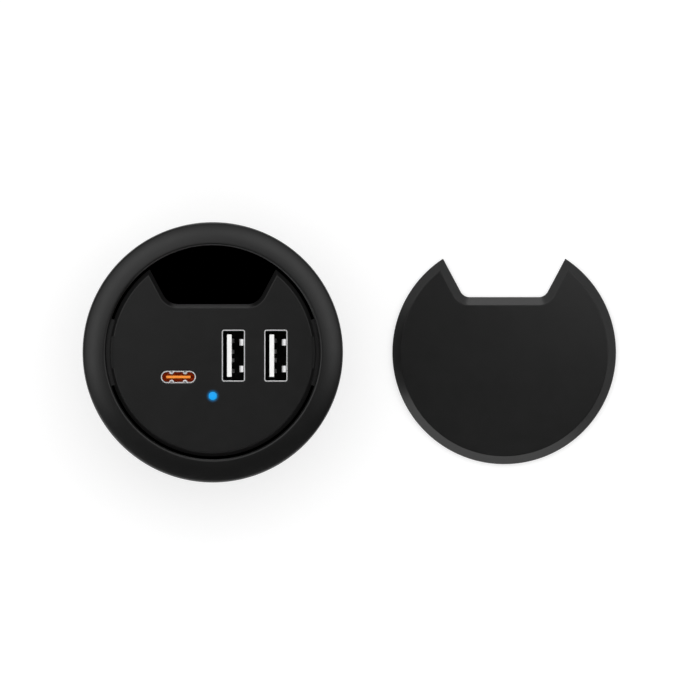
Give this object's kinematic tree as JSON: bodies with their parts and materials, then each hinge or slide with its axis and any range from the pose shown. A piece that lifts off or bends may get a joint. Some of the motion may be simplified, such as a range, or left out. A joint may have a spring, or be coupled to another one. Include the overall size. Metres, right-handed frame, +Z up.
{
  "type": "usb desktop charger",
  "caption": "Round charger for a desk cable hole: bezel ring with sleeve, lift-out insert with upright sockets and a cable notch, and a loose notched cover cap.",
  "frame": {"origin": "centre of the flange's underside, where the flange rests on the desk and the sleeve enters its hole", "axes": "+Z up out of the desk, +Y towards the cable notch, +X towards the cover cap that lies beside the ring"},
  "size_m": [0.1352, 0.066, 0.04],
  "materials": {
    "black_shell": "fine satin texture",
    "black_trim": "moulded matte",
    "socket_steel": "bright nickel",
    "screw_steel": "zinc plated",
    "socket_contact": "satin",
    "gold_contact": "gold flash",
    "white_tongue": "moulded satin",
    "orange_tongue": "moulded satin",
    "orange_moulding": "moulded satin",
    "blue_lens": "clear, lit blue",
    "led_body": "moulded",
    "circuit_board": "solder mask",
    "ceramic_tan": "fired",
    "capacitor_can": "satin",
    "ferrite": "matte"
  },
  "bodies": {
    "bezel": {"bezel_ring": "black_shell"},
    "insert": {"face_plate": "black_shell", "rear_housing": "black_shell", "board_screws": "screw_steel", "port_board": "circuit_board", "power_board": "circuit_board", "board_header": "black_trim", "header_pins": "gold_contact", "usb_a_left_shell": "socket_steel", "usb_a_right_shell": "socket_steel", "usb_c_shell": "socket_steel", "usb_a_left_tongue": "white_tongue", "usb_a_right_tongue": "white_tongue", "usb_a_left_contacts": "socket_contact", "usb_a_right_contacts": "socket_contact", "usb_c_contacts": "gold_contact", "usb_c_tongue": "orange_tongue", "usb_c_insulator": "orange_moulding", "led_lens": "blue_lens", "led_chip": "led_body", "controller_chips": "black_trim", "chip_capacitors": "ceramic_tan", "filter_capacitors": "capacitor_can", "power_inductors": "ferrite", "dc_inlet_body": "black_trim", "dc_inlet_pin": "socket_contact", "dc_inlet_spring": "socket_contact"},
    "cover": {"cover_cap": "black_shell"}
  },
  "joints": [
    {"name": "insert_lift", "type": "slide", "parent": "bezel", "child": "insert", "axis": [0, 0, 1], "range_m": [0, 0.045]},
    {"name": "cover_lift", "type": "slide", "parent": "bezel", "child": "cover", "axis": [0, 0, 1], "range_m": [0, 0.06]}
  ]
}
